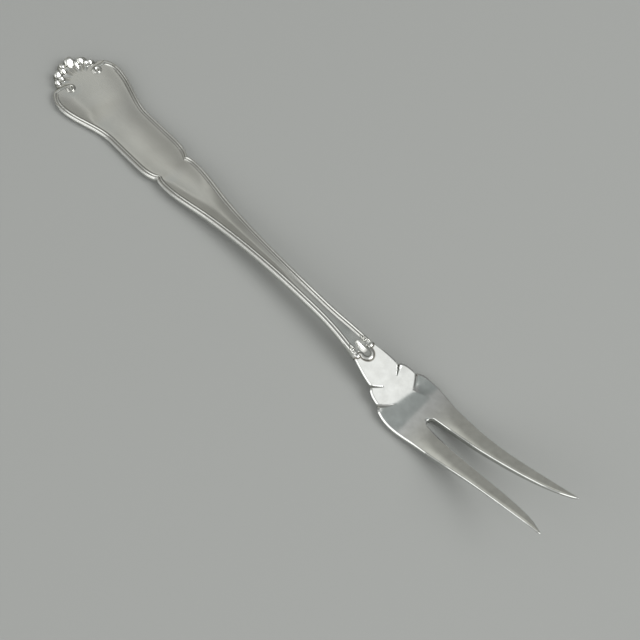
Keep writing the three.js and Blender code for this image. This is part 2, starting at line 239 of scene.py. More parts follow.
# Handle: a struck front with a threaded border, a beaded shell at one end and a lobed lap at the neck
handleSizes = {
    # places on the edge, from the shell to the seam
    "shell": (5.2, 5.6),
    "shoulder": (10.1, 8.7),
    "waist": (24.8, 5.7),
    "waistEnd": (34.6, 5.7),
    "notch": (40.0, 4.2),
    "lowerShoulder": (43.0, 4.88),
    "lowerTaper": (56.0, 3.28),
    "slimmest": (89.6, 1.77),
    "seam": (102.5, 2.68),
    "taperSlope": -0.12,
    "seamSlope": 0.1,
    "notchPitch": 0.5,  # how steeply a line 1 mm in from the edge can run into the notch
    # the threaded border and its tarnish
    "outerThread": (0.33, 0.62, 0.30),  # set in from the edge, width, height
    "innerThread": (0.92, 0.46, 0.25),
    "threadGroove": 0.08,
    "border": 1.2,
    "tarnishLines": [(0.66, 0.06), (1.14, 0.08)],  # inside each thread: set in, half width
    "wornClean": (72, 84, 0.7),  # from, to, and how much of the inner line is gone by then
    "stemGrime": (42.5, 62, 0.15),  # from, to, and how much
    # the panel inside the border
    "crown": [(10, 0.19, 0), (20, 0.14, -0.004), (32, 0.12, 0), (44, 0.12, 0), (58, 0.02, 0)],
    # slopes beside the threads on the -Y and +Y sides: how much of that half of the panel they take
    "facets": ([(8, 0.33, 0), (14, 0.31, -0.012), (20, 0, 0), (40.5, 0, 0), (44, 0.28, 0.04),
                (56, 0.74, 0.025), (64, 0.88, 0.01), (72, 0.92, 0), (84, 0.12, 0), (98.5, 0, 0)],
               [(45, 0, 0), (58, 0.78, 0.03), (64, 0.88, 0.01), (72, 0.92, 0), (84, 0.12, 0),
                (98.5, 0, 0)]),
    "facetSlope": 0.15,
    "sideBlend": 0.6,  # share of its half at which the -Y slope starts to give way
    "creaseRound": (0.02, 0.2, 0.6),  # how softly the slopes meet, and how softly each meets the flat
    "creaseFull": 0.28,  # a slope that takes less than this has a sharper crease
    "dip": (0.02, 0.8, 4),  # hollow inside the threads: depth, how far in, half width that has it all
    # rows and columns of points: from, to and number of each stretch, closest at the notch
    "rows": [(10.1, 24.8, 28), (24.8, 34.6, 12), (34.6, 39, 16), (41, 46, 18), (46, 56, 24), (56, 90, 44),
             (90, 99.3, 16)],
    "notchRows": (0.005, 10, [0.62, 0.76, 0.92]),  # first, how many grow as squares, last ones
    "insets": [0, 0.02, 0.06, 0.12, 0.2, 0.27, 0.33, 0.39, 0.46, 0.53, 0.585, 0.63, 0.67, 0.71, 0.76, 0.82,
               0.87, 0.92, 0.97, 1.02, 1.07, 1.12],
    "panelColumns": 26,
    "neckStart": 99.3,  # the last row: from here on the neck is a net of points
    "shellNet": 0.085,
    "neckNet": 0.062,
    # the shell
    "fanCentre": (7.6, 0.0),
    # x, y, length outwards from the fan's centre, width, height, inward tilt and flatness of each lobe
    "lobes": [(1.35, 0.9, 2.7, 2.6, 0.95, 0.64, 3.6), (1.0, -1.0, 1.8, 1.6, 0.8, 0.12, 2.2),
              (2.8, 3.05, 1.9, 2.2, 1.0, 0.66, 2.8), (2.55, -3.25, 2.1, 2.2, 1.0, 0.64, 2.8),
              (4.5, 4.5, 1.6, 1.5, 0.9, 0.6, 2.6), (4.2, -4.65, 1.7, 1.6, 0.9, 0.6, 2.6),
              (3.05, 1.75, 2.2, 1.2, 1.0, 0.62, 2.8), (2.5, -1.75, 1.8, 1.4, 1.0, 0.62, 2.8),
              (4.15, 3.65, 1.5, 1.2, 1.0, 0.6, 2.8), (4.0, -3.3, 1.6, 1.3, 1.0, 0.6, 2.8),
              (7.05, 3.65, 0.95, 1.6, 0.5, 0.5, 2.8), (7.25, -3.95, 0.85, 1.5, 0.45, 0.5, 2.8)],
    "lobeSink": 0.05,
    "lobeRubbed": 0.35,  # polished all over from this height up
    "lobeFlankTarnishAndShade": (0.45, 0.85, 0.85),  # tarnish and painted shade on the flanks: full below this roundness, none above this, how much
    "lobeCrease": (0.05, 4.2, 4.8, 5.6),  # tarnish between lobes: width, from, full at, ends at
    "rimLobes": [(1.42, 1.0, 2.84, 2.75), (2.75, 3.2, 2.75, 2.65), (4.5, 4.6, 1.9, 1.8)],
    "rimRound": (0.5, 0.12),  # width, fall
    "rimShade": (1.5, 0.2),  # painted shade along the shell's rim: strength, width
    "rimEnd": 5.4,
    "ribs": (26.0, 19.5, 0.1),  # degrees apart, first at, height
    "ribReach": (2.6, 4.9, 0.6),  # from the fan's centre: from, full at, then fades over
    "ribEnds": (50, 62),  # they fade out between these angles
    "shellPanel": (5.5, 0.25),  # the panel's form fades from the shoulder to here, to this share
    # each side's scroll: its centre, where the thread leaves the edge, and the arm between them
    "scrolls": {1: ((7.15, 4.5), 6.2, [(6.5, 6.3), (6.4, 5.4)]),
                -1: ((7.2, 3.35), 5.5, [(5.75, 5.4), (6.0, 3.9)])},
    "scrollRadius": (0.85, 0.62),  # where it starts and where it ends
    "scrollTurns": (0.15, 5.0),  # from and to, in radians
    "scrollThread": (0.8, 0.4),  # width, height
    "scrollJoin": (0.45, 0.7),  # the thread swells into it between these shares of its line
    "scrollArm": (0.3, 0.62, 0.8, 8.2),  # its share of the height, rises from and to, begins at
    "scrollPit": (0.22, 0.75),  # depth, radius
    "scrollGroove": (0.8, 0.36, 0.08),  # tarnish beside it: how much, how far off, half width
    "scrollShade": (0.3, 0.02),  # painted shade over the scroll: how much, and above what height
    "innerFrom": 16,  # the point of the shoulder's edge at which the inner thread ends
    "innerFade": 0.6,  # it dies away from this share of its length
    "grooveBegins": (7, 9.5),
    # the neck
    "innerEnds": (100.0, 101.2),
    "outerEnds": (101.6, 102.3),
    "panelEnds": (99.6, 103),
    "curl": (100.95, 1.76, 0.42),  # x, y, radius
    "curlTurns": (-2.0, 3.0),  # from and to, in radians
    "curlCloses": 0.7,  # share of the radius left at its end
    "curlLeaves": (100.1, 0.9),  # where its thread starts, and how far in from the edge
    "curlThread": (0.36, 0.34),  # width, height
    "curlGroove": (0.24, 0.07),  # tarnish beside it: how far off, half width
    "lapCentre": (101.8, 0.0),
    "lapLobes": [(103.45, 0, 3.3, 3.0), (102.4, 1.82, 1.6, 1.6)],
    "lapBegins": (101.4, 102.6),
    "lapFall": (98.04, 0.11, 0.5),  # straight neck: from, slope, and full this far in from its edge
    "lapRim": (0.6, 0.26),  # width and fall of its rounded edge
    "lapEdgeShade": (1.3, 0.1),  # painted shade along the lap's edge, where it lies on the head: strength, width
    "lapField": (0.05, 0.25),  # depth of the field inside the rim, width of the step to it
    "lapFieldBegins": ((100.4, 102), (1.0, 1.3)),  # along the neck, and in from its edge
    "lapFieldGrime": (0.1, 0.1),  # how far inside the rim, half width
    "lapSplit": [(103.2, 1.5), (102.4, 1.1)],  # the crease between two lobes
    "splitSize": (0.13, 0.2),  # half width, depth
    "drop": (100.1, 103.6, 1.5, 0.24, 0.235),  # from, to, width, height, and how much steeper than the lap
    "dropShape": (0.1, 5, 0.45, 8),  # length of its round start, blunt end, width at the start, flat top
    "neckRubbed": (0.3, 0.22, 0.3, 0.1),  # heights of full polish: outer and inner thread, curl, drop
    "neckGrime": (0.25, 101),  # how much more than on the stem, and where it is all there
    # the back
    "wall": [(20, 1.1, 0), (89.6, 2.0, 0)],
    "wallLevels": [(0.45, 0.0), (0.8, 0.12), (0.94, 0.5)],  # how far down, and how far in by then
    "underEdge": 0.18,
    "tipTuck": 9,  # the shell's underside is also set back over this length
    "tipHalf": 3.0,  # half width of the very tip
    "lapUnder": (0.22, 1.0),  # depth of the lap's underside, and the length over which it is set back
    "seamLines": (0.06, 2.55, 70),  # two lines across the seam: gap, half length, points
}


# The edge of the three-lobed lap that the neck lays over the head. Here and below, s holds the sizes.
def lapLine(s):
    centre = s["lapCentre"]
    angle = math.atan2(s["seam"][1], s["seam"][0] - centre[0])
    angles = np.linspace(angle, -angle, 141)
    return lobedLine(centre, angles, mirrored(s["lapLobes"]), math.dist(centre, s["seam"]))


# The handle's +Y edge above and below the notch
def handleEdges(s):
    upper = edgeLine(s["shoulder"], glide(s["shoulder"], s["waist"], 0, 0, 600),
                     glide(s["waist"], s["waistEnd"], 0, 0, 60), fall(s["waistEnd"], s["notch"], 900))
    lower = edgeLine(s["notch"], spring(s["notch"], s["lowerShoulder"], 600),
                     glide(s["lowerShoulder"], s["lowerTaper"], 0, s["taperSlope"], 300),
                     glide(s["lowerTaper"], s["slimmest"], s["taperSlope"], 0, 300),
                     glide(s["slimmest"], s["seam"], 0, s["seamSlope"], 200))
    return upper, lower


# The line at some distance in from the edge, with a sharp corner at the notch. Each edge runs straight on
# from where it would get steeper than a thread can follow.
def inFromEdge(s, edges, x, inset):
    steepest = s["notchPitch"] / max(inset, 1e-4)
    sides = []
    for line in edges:
        slopes = np.gradient(line[:, 1], line[:, 0] + 1e-9 * np.arange(len(line)))
        gentle = np.abs(slopes) <= steepest
        px, py, slope = line[gentle, 0], line[gentle, 1], slopes[gentle]
        y = np.interp(x, px, py)
        y += slope[0] * np.minimum(x - px[0], 0) + slope[-1] * np.maximum(x - px[-1], 0)
        sides.append(y - inset * np.sqrt(1 + np.interp(x, px, slope) ** 2))
    return np.maximum(*sides)


# The ground that the threads and lobes stand on
def groundAt(s, x):
    return frontAt(x) - s["outerThread"][2]


# Both threads with a shallow groove between them
def joinThreads(s, outer, inner, inset, groove):
    between = (inset > s["outerThread"][0]) & (inset < s["innerThread"][0])
    outer = np.maximum(outer, groove * between)
    return outer, np.where(between, np.maximum(inner - outer, 0), inner)


def threads(s, inset):
    outer = bead(inset - s["outerThread"][0], *s["outerThread"][1:])
    inner = bead(inset - s["innerThread"][0], *s["innerThread"][1:])
    return joinThreads(s, outer, inner, inset, s["threadGroove"])


# The panel inside the border: crowned, hollow beside the threads and sloped towards the middle
def panel(s, x, y, width):
    share = np.clip(np.abs(y) / width, 0, 1)
    depth, reach, fullWidth = s["dip"]
    t = (1 - share) * width / reach
    hollow = depth * t * np.exp(1 - t) * np.minimum(1, width / fullWidth)
    plusSide = np.clip((y / width + s["sideBlend"]) / (1 + s["sideBlend"]), 0, 1)
    takenMinus, takenPlus = [along(stations, x) for stations in s["facets"]]
    taken = takenMinus * (1 - plusSide) + takenPlus * plusSide
    meet, softMinus, softPlus = s["creaseRound"]
    slope = 1 - np.sqrt((share ** 2 + meet) / (1 + meet))
    soft = softMinus * (1 - plusSide) + softPlus * plusSide
    blend = soft * np.minimum(1, taken / s["creaseFull"]) + 1e-6
    near = np.maximum(blend - np.abs(slope - taken), 0) / blend
    dish = s["facetSlope"] * width * (np.minimum(slope, taken) - near ** 2 * blend / 4)
    return along(s["crown"], x) * (1 - share ** 2) - hollow - dish


# The neck runs down straight towards the head, except at its very edge
def straightNeck(s, x, inset):
    start, slope, edgeFade = s["lapFall"]
    return (frontAt(start) - slope * (x - start) - frontAt(x)) * (x > start) * ease(inset, 0, edgeFade)


# The long middle of the handle: rows of points from edge to edge, with their polish and tarnish
def handleGrid(s, edges):
    firstGap, growing, lastGaps = s["notchRows"]
    nearNotch = np.r_[firstGap * np.arange(1, growing + 1) ** 2, lastGaps]
    notchX = s["notch"][0]
    stretches = [np.linspace(*stretch) for stretch in s["rows"]]
    rows = np.unique(np.concatenate([*stretches, notchX - nearNotch, [notchX], notchX + nearNotch]))
    rows = rows[:, None]
    insets = np.array(s["insets"] + [s["border"]])
    borderY = np.hstack([inFromEdge(s, edges, rows, inset) for inset in insets])
    width = borderY[:, -1:]
    y = np.hstack([borderY, width * np.linspace(1, 0, s["panelColumns"] + 1)[1:]])
    inset = np.r_[insets, np.full(s["panelColumns"], farAway)]
    onPanel = inset > s["border"]
    outer, inner = threads(s, inset)
    crest = np.maximum(outer / s["outerThread"][2], inner / s["innerThread"][2])
    crest = np.tile(crest, (len(rows), 1))
    groove = sum(softLine(inset, *line) for line in s["tarnishLines"])
    cleanFrom, cleanTo, cleaned = s["wornClean"]
    groove = groove * (1 - cleaned * ease(rows, cleanFrom, cleanTo) * (inset >= s["innerThread"][0]))
    grimeFrom, grimeTo, grime = s["stemGrime"]
    groove = groove + grime * ease(rows, grimeFrom, grimeTo) * onPanel
    level = groundAt(s, rows) + outer + inner + straightNeck(s, rows, inset)
    heights = [level + panel(s, rows, sign * y, width) * onPanel for sign in (1, -1)]

    def bothSides(plusSide, minusSide):
        return np.hstack([plusSide, minusSide[:, -2::-1]])

    x = np.repeat(rows, y.shape[1], axis=1)
    grid = np.dstack([bothSides(x, x), bothSides(y, -y), bothSides(*heights)])
    return grid, bothSides(crest, crest), bothSides(groove, groove), width


# The shoulder's +Y edge, and the shell's lobed rim from there round to the other shoulder
def shellLines(s):
    centre = s["fanCentre"]
    shoulderEdge = edgeLine(s["shell"], spring(s["shell"], s["shoulder"], 60))
    rimAngle = math.atan2(s["shell"][1], centre[0] - s["shell"][0])
    angles = math.pi + np.linspace(-rimAngle, rimAngle, 181)
    return shoulderEdge, lobedLine(centre, angles, mirrored(s["rimLobes"]), math.dist(centre, s["shell"]))


# Beside the shell the outer thread leaves the edge and curls into a scroll, and the inner one dies away
def shellThreads(s, p, ring):
    side = np.c_[p[:, 0], np.abs(p[:, 1])]
    x = side[:, 0]
    tangent = np.gradient(ring, axis=0)
    tangent /= np.linalg.norm(tangent, axis=1)[:, None]
    inward = np.c_[tangent[:, 1], -tangent[:, 0]]
    outerLine = (ring + inward * s["outerThread"][0])[::-1]
    innerLine = (ring + inward * s["innerThread"][0])[s["innerFrom"]:][::-1]
    outer, scrolled, pit = np.zeros((3, len(p)))
    gap = np.full(len(p), farAway)
    threadWide, threadTall = s["outerThread"][1:]
    scrollWide, scrollTall = s["scrollThread"]
    armShare, riseFrom, riseTo, armX = s["scrollArm"]
    pitDepth, pitRadius = s["scrollPit"]
    turn = np.linspace(*s["scrollTurns"], 40)
    radius = np.linspace(*s["scrollRadius"], 40)
    for sign, ((cx, cy), leaves, arm) in s["scrolls"].items():
        own = p[:, 1] * sign >= 0
        curl = np.c_[cx - radius * np.cos(turn), cy - radius * np.sin(turn)]
        line = np.vstack([outerLine[ring[::-1, 0] > leaves], arm, curl])
        gap[own], reach = fromLine(side[own], line)
        curled = ease(reach, *s["scrollJoin"])
        wide = threadWide + (scrollWide - threadWide) * curled
        tall = threadTall + (scrollTall - threadTall) * curled
        risen = np.maximum(ease(reach, riseFrom, riseTo), ease(x[own], armX, s["shoulder"][0]))
        fullness = 0.65 + 0.35 * curled  # the scroll's section is a plain arch, the thread's is fuller
        outer[own] = bead(gap[own] / wide, 1, tall, fullness) * (armShare + (1 - armShare) * risen)
        scrolled[own] = curled
        pit[own] = pitDepth * np.exp(-(np.hypot(x[own] - cx, side[own, 1] - cy) / pitRadius) ** 4)
    innerGap, reach = fromLine(side, innerLine)
    inner = bead(innerGap, *s["innerThread"][1:]) * (1 - ease(reach, s["innerFade"], 1))
    inset = fromLine(side, ring)[0]
    begun = ease(x, *s["grooveBegins"])
    outer, inner = joinThreads(s, outer, inner, inset, s["threadGroove"] * begun)
    grooveDark, *grooveLine = s["scrollGroove"]
    scrollShadeStrength, darkAbove = s["scrollShade"]
    # Tarnish beside the scroll and along the inner line, and painted shade over the scroll itself
    tarnishAndShade = [grooveDark * softLine(gap, *grooveLine), scrollShadeStrength * scrolled * (outer > darkAbove),
               softLine(inset, *s["tarnishLines"][1]) * begun]
    return outer, inner, pit, np.max(tarnishAndShade, axis=0)


# Height above the ground, polish, tarnish and painted shade of the shell end
def shellRelief(s, p, ring, rim, width):
    x, y = p[:, 0], p[:, 1]
    panelEnd, panelShare = s["shellPanel"]
    base = panel(s, x, y, width) * (panelShare + (1 - panelShare) * ease(x, panelEnd, s["shoulder"][0]))
    outer, inner, pit, tarnishAndShade = shellThreads(s, p, ring)

    # Ribs spread from the fan's centre
    fx, fy = s["fanCentre"]
    fromFan = np.hypot(x - fx, y - fy)
    angle = np.degrees(np.arctan2(np.abs(y - fy), fx - x))
    ribStep, firstRib, ribHeight = s["ribs"]
    ribFrom, ribTo, ribFade = s["ribReach"]
    ribs = ribHeight * np.cos(np.radians((angle - firstRib) * 360 / ribStep))
    ribs *= ease(fromFan, ribFrom, ribTo) * (1 - ease(fromFan, ribTo, ribTo + ribFade))
    ribs *= 1 - ease(angle, *s["ribEnds"])
    plain = base - pit + ribs + outer + inner
    rimGap = fromLine(p, rim)[0]
    rimWide, rimFall = s["rimRound"]
    byRim = x < s["rimEnd"]
    plain -= rimFall * rollOff(np.clip(1 - rimGap / rimWide, 0, 1)) * byRim

    # The highest lobe shows, with tarnish and painted shade on its flanks and tarnish where it meets the
    # next one
    levels = [plain]
    flanks = [np.zeros(len(p))]
    darkBelow, cleanAbove, flankDark = s["lobeFlankTarnishAndShade"]
    for lobe in s["lobes"]:
        raised, roundness = swell(p, (fx, fy), *lobe)
        levels.append(np.where(raised > 0, base + raised - s["lobeSink"], -farAway))
        flanks.append(flankDark * (1 - ease(roundness, darkBelow, cleanAbove)))
    flankTarnishAndShade = np.array(flanks)[np.argmax(levels, axis=0), np.arange(len(p))]
    levels = np.sort(levels, axis=0)
    top = levels[-1]
    onLobe = np.clip((top - plain) / s["lobeRubbed"], 0, 1)
    crest = np.maximum(np.clip(outer / s["outerThread"][2], 0, 1), onLobe)
    creaseWide, creaseFrom, creaseTo, creaseEnd = s["lobeCrease"]
    crease = softLine(top - levels[-2], 0, creaseWide) * (x < creaseEnd)
    crease *= ease(fromFan, creaseFrom, creaseTo)
    # Painted shade along the shell's rim, for the dark edge round it
    rimShade = edgeShade(rimGap, *s["rimShade"]) * byRim
    return top, crest, np.max([tarnishAndShade, flankTarnishAndShade, crease, rimShade], axis=0)


# How far the drop on the neck rises, and how far to its side each point lies, from 0 to 1
def neckDrop(s, x, y):
    start, end, width, height, tilt = s["drop"]
    roundStart, bluntness, startWidth, flatness = s["dropShape"]
    t = np.clip((x - start) / (end - start), 0, 1)
    ends = np.sqrt(1 - np.clip(1 - t / roundStart, 0, 1) ** 2) * np.sqrt(1 - t ** bluntness)
    aside = np.clip(y / (width / 2 * (startWidth + (1 - startWidth) * t) * ends + 1e-6), 0, 1)
    return (height - tilt * (x - (start + end) / 2)) * np.sqrt(1 - aside ** flatness) * ends, aside


# Height above the ground, polish, tarnish and painted shade of the neck end
def neckRelief(s, p, lower, lap, width):
    side = np.c_[p[:, 0], np.abs(p[:, 1])]
    x = side[:, 0]
    inset = np.interp(x, lower[:, 0], lower[:, 1]) - side[:, 1]
    onPanel = inset > s["border"]
    outer, inner = threads(s, inset)
    innerLeft = 1 - ease(x, *s["innerEnds"])
    base = panel(s, x, p[:, 1], width) * onPanel * (1 - ease(x, *s["panelEnds"]))

    # The inner thread ends in a curl
    cx, cy, radius = s["curl"]
    turn = np.linspace(*s["curlTurns"], 40)
    size = radius * np.linspace(1, s["curlCloses"], 40)
    leaveX, leaveInset = s["curlLeaves"]
    leave = (leaveX, np.interp(leaveX, lower[:, 0], lower[:, 1]) - leaveInset)
    curlGap = fromLine(side, edgeLine(leave, np.c_[cx + size * np.cos(turn), cy + size * np.sin(turn)]))[0]
    curled = bead(curlGap, *s["curlThread"])

    # The lap has a rolled rim, a sunk field and a crease between its lobes
    onLap = ease(x, *s["lapBegins"])
    rimGap = fromLine(p, lap)[0]
    rimWide, rimFall = s["lapRim"]
    rolled = np.clip(1 - rimGap / rimWide, 0, 1) * onLap
    fieldDepth, fieldStep = s["lapField"]
    fieldX, fieldInset = s["lapFieldBegins"]
    field = ease(rimGap, rimWide, rimWide + fieldStep) * ease(x, *fieldX) * ease(inset, *fieldInset)
    splitWide, splitDepth = s["splitSize"]
    split = softLine(fromLine(side, np.array(s["lapSplit"]))[0], 0, splitWide)
    plain = base + outer * (1 - ease(x, *s["outerEnds"])) + inner * innerLeft
    plain = np.maximum(plain, curled) - splitDepth * split
    plain -= rimFall * rollOff(rolled) + fieldDepth * field

    drop, aside = neckDrop(s, x, side[:, 1])
    outerRubbed, innerRubbed, curlRubbed, dropRubbed = s["neckRubbed"]
    onDrop = np.clip((drop - plain) / dropRubbed, 0, 1) * (aside < 1)
    top = np.where(aside < 1, np.maximum(plain, drop), plain) + straightNeck(s, x, inset)
    onRim = np.clip(2 * rolled, 0, 1)  # polished on its outer half
    onThread = np.clip(outer / outerRubbed + inner / innerRubbed * innerLeft + curled / curlRubbed, 0, 1)
    crest = np.max([onDrop, onRim, onThread], axis=0)
    moreGrime, grimeAt = s["neckGrime"]
    grime = s["stemGrime"][2] + moreGrime * ease(x, s["neckStart"], grimeAt)
    # Tarnish in the neck's hollows and on its panel, and painted shade along the lap's edge
    groove = np.max([grime * onPanel * (1 - onDrop) * (1 - onRim) + split,
                     edgeShade(rimGap, *s["lapEdgeShade"]) * onLap,
                     softLine(rimGap - rimWide, *s["lapFieldGrime"]) * onLap,
                     softLine(inset, *s["tarnishLines"][0]) * innerLeft,
                     softLine(curlGap, *s["curlGroove"])], axis=0)
    return top, crest, np.clip(groove * (1 - curled / s["curlThread"][1]), 0, 1)


# The back: the front's net again as a rounded underside, thin under the lap, and a wall round the outline
def addBack(s, points, faces, outline, edge):
    count = len(points)
    x, y = points[:, 0], points[:, 1]
    wide = np.interp(x, edge[:, 0], edge[:, 1])
    share = np.clip(np.abs(y) / wide, 0, 1)
    seamX = s["seam"][0]
    tuck = s["underEdge"]
    lapDepth, lapTuck = s["lapUnder"]
    middle = frontAt(x) - thicknessAt(x)
    wallFoot = groundAt(s, x) - along(s["wall"], x)
    backZ = np.maximum(middle + (wallFoot - middle) * share ** 2, forkBody["restFlat"])
    pastSeam = x > seamX - s["seamLines"][0] / 2
    under = np.c_[x + tuck * np.clip(1 - x / s["tipTuck"], 0, 1) - tuck * ease(x, seamX, seamX + lapTuck),
                  y * (1 - tuck / wide), np.where(pastSeam, frontAt(x) - lapDepth, backZ)]
    faces = faces + [[count + k for k in reversed(face)] for face in faces]
    topEdge = points[outline]
    lowEdge = under[outline]
    points = np.vstack([points, under])
    loops = [outline]
    for down, tucked in s["wallLevels"]:
        loops.append(len(points) + np.arange(len(outline)))
        points = np.vstack([points, topEdge + (lowEdge - topEdge) * [tucked, tucked, down]])
    loops.append(outline + count)
    for a, b in zip(loops, loops[1:]):
        faces += np.stack([a, b, np.roll(b, -1), np.roll(a, -1)], axis=-1).tolist()
    return points, faces


def buildHandle(s):
    edges = handleEdges(s)
    upper, lower = edges
    grid, gridCrest, gridGroove, width = handleGrid(s, edges)
    across = grid.shape[1]
    flip = np.array([1, -1])

    # Shell end: the loop runs across the first row, up one shoulder, round the rim and down the other
    shoulderEdge, rim = shellLines(s)
    ring = np.vstack([shoulderEdge, upper[1:40]])  # and a little way past the shoulder
    shellLoop = np.vstack([grid[0, ::-1, :2], shoulderEdge[-2:0:-1], rim, shoulderEdge[1:-1] * flip])
    shell = fillLoop(shellLoop, s["shellNet"])
    shellLook = shellRelief(s, shell[0], ring, rim, width[0, 0])

    # Neck end: the loop runs across the last row, down one edge, round the lap and back up the other
    neckEdge = lower[lower[:, 0] > s["neckStart"] + 0.04][::4][:-1]  # past the last row, before the seam
    lap = lapLine(s)
    neckLoop = np.vstack([grid[-1, ::-1, :2], neckEdge, lap, (neckEdge * flip)[::-1]])
    seamGap, seamHalf, seamCount = s["seamLines"]
    acrossSeam = np.linspace(-seamHalf, seamHalf, seamCount)
    guides = [np.c_[np.full(seamCount, x), acrossSeam] for x in (s["seam"][0] - seamGap, s["seam"][0])]
    neck = fillLoop(neckLoop, s["neckNet"], guides)
    neckLook = neckRelief(s, neck[0], lower, lap, width[-1, 0])

    # The whole front, as one list of points: the grid and then what each end adds to it
    points = [grid.reshape(-1, 3)]
    crests = [gridCrest.ravel()]
    tarnishAndShadeMarks = [gridGroove.ravel()]
    count = len(points[0])
    index = np.arange(count).reshape(-1, across)
    faces = sheet(index)[:, ::-1].tolist()
    ends = []
    for (flat, fill, loop), (relief, crest, groove), row in (
            (shell, shellLook, index[0]), (neck, neckLook, index[-1])):
        shared = np.full(len(flat), -1)
        shared[loop[:across]] = row[::-1]
        fresh = shared < 0
        shared[fresh] = count + np.arange(fresh.sum())
        count += fresh.sum()
        points.append(np.c_[flat, groundAt(s, flat[:, 0]) + relief][fresh])
        crests.append(crest[fresh])
        tarnishAndShadeMarks.append(groove[fresh])
        corner = flat[fill[:, 1]] - flat[fill[:, 0]]
        other = flat[fill[:, 2]] - flat[fill[:, 0]]
        upward = corner[:, 0] * other[:, 1] - corner[:, 1] * other[:, 0] > 0
        fill = np.where(upward[:, None], fill, fill[:, ::-1])
        faces += shared[fill].tolist()
        ends.append(shared[np.r_[loop[across - 1:], loop[0]]])

    # The outline in order: round the shell, down the -Y side, round the neck and up the +Y side
    outline = np.concatenate([ends[0], index[1:-1, -1], ends[1][::-1], index[-2:0:-1, 0]])
    edge = np.vstack([[(0, s["tipHalf"])], shoulderEdge, upper[1:], lower[1:]])
    points, faces = addBack(s, np.vstack(points), faces, outline, edge)
    # The groove mark holds tarnish and painted shade
    marks = {"crest": np.concatenate(crests), "groove": np.concatenate(tarnishAndShadeMarks)}
    for mark, values in marks.items():
        marks[mark] = np.pad(values, (0, len(points) - count))  # the back and the wall have none
    return makePiece("handle_silver", points, faces, marks)


handle = buildHandle(handleSizes)
print("handle built, %d faces" % len(handle.data.polygons))

# Head: a leaf-cut shoulder and two curved tines, made as one half and its mirror image
headSizes = {
    # places on the outer edge and on the slot's edge
    "start": (102.6, 2.68),
    "firstNotch": (109.05, 3.85),
    "secondNotch": (112.8, 5.4),
    "heel": (117.3, 6.85),
    "tineRoot": (124.6, 5.95),
    "tineTaper": (140.1, 4.93),
    "point": (155.6, 5.28),
    "slotEnd": (121.8, 0.0),
    "slotRoot": (122.9, 1.1),
    "slotMiddle": (136.15, 1.95),
    "slotLate": (148.25, 3.05),
    "slotPoint": (155.6, 4.98),
    "startSlope": 0.26,
    "tineSlopes": (-0.1, 0.03),  # at the root and at the point
    "slotSlopes": (0.12, 0.07, 0.14, 0.45),  # from its root to its points
    "columns": 56,
    # the front
    "tineCrown": 0.075,
    "crownBegins": (121.8, 128),
    "bevel": [(119, 0.3, 0), (129, 0.18, 0)],
    "bevelSlope": [(122, 0.8, 0), (132, 0.6, 0)],
    "slotBevel": [(122, 0.1, 0), (128, 0.2, 0)],
    "bevelLimit": 0.3,  # no wider than this share of the tine
    "tipRound": (155.15, 0.45, 0.9),  # where the points round off from, over what length, and how much
    "cutSweep": (4.0, 4.0),  # how far the leaf cuts sweep towards the tines, and over what width
    "sweepBegins": (102.6, 109),
    "sweepEnds": (113, 121.3),
    # x, y, length, depth, width, and the height and reach of the leaf edge on the tines' side
    "cuts": [(109.05, 3.85, 2.9, 0.3, 0.36, 0.1, 0.8), (112.8, 5.4, 4.3, 0.32, 0.4, -0.22, 2.0)],
    "cutLine": (0.3, 0.72),  # starts this far outside the edge, and goes in by this share of its length
    "cutFade": (0.8, 0.35),  # how fast it gets shallow, and the share of its width left at the end
    "cutSharpness": 1.6,
    "leafEdge": 0.2,  # the raised or sunk edge is full this far from the cut
    "lapShadow": (1.8, 0.17),  # painted shadow on the head along the lap's edge: strength, width
    "edgeRubbed": 0.35,  # width of the brighter polish along the edges
    "slotWallTarnishAndShade": 0.4,  # the slot's walls are hardly polished: tarnish and painted shade on them
    # the back
    "wall": [(102.6, 2.0, 0), (117.3, 1.3, 0), (155.6, 0.4, 0)],
    "wallTop": 0.33,
    "backRound": 0.35,
    "slotBackRound": 0.06,
    "roundLimit": 0.42,  # no wider than this share of the tine
    "thinnest": 0.02,
    "sharpAngle": 40,
}


